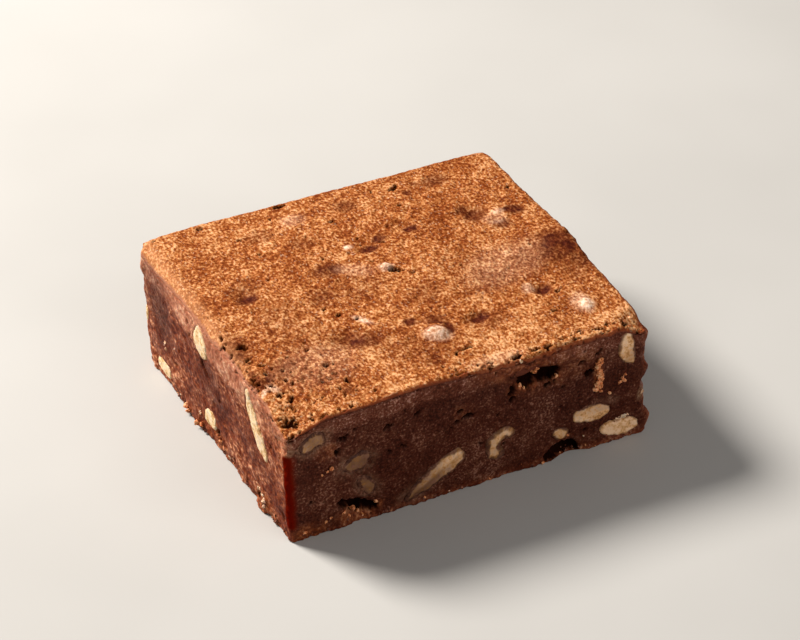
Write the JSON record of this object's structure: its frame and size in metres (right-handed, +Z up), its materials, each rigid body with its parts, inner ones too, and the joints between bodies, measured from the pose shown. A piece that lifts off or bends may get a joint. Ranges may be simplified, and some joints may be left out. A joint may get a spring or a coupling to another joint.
{
  "type": "chocolate walnut brownie",
  "caption": "Square-cut fudgy chocolate brownie with a matte crust, upright cut sides and chopped walnut pieces showing in them.",
  "frame": {"origin": "middle of the box of the flat underside", "axes": "+X along the wide front side to the right, +Y from the front side to the back, +Z up through the crust"},
  "size_m": [0.0718, 0.063, 0.0265],
  "materials": {
    "fudge_crumb": "dense dark chocolate crumb, matte with a faint greasy sheen",
    "crust": "dry, finely granular baked crust, tan to brown",
    "walnut": "cut walnut flesh, cream with a satin sheen"
  },
  "bodies": {
    "root": {"brownie": "fudge_crumb", "walnut_back_1": "walnut", "walnut_back_2": "walnut", "walnut_back_3": "walnut", "walnut_back_4": "walnut", "walnut_back_5": "walnut", "walnut_front_1": "walnut", "walnut_front_2": "walnut", "walnut_front_3": "walnut", "walnut_front_4": "walnut", "walnut_front_5": "walnut", "walnut_front_6": "walnut", "walnut_front_7": "walnut", "walnut_front_8": "walnut", "walnut_front_9": "walnut", "walnut_left_1": "walnut", "walnut_left_2": "walnut", "walnut_left_3": "walnut", "walnut_left_4": "walnut", "walnut_left_5": "walnut", "walnut_right_1": "walnut", "walnut_right_2": "walnut", "walnut_right_3": "walnut", "walnut_right_4": "walnut", "walnut_right_5": "walnut"}
  },
  "joints": []
}
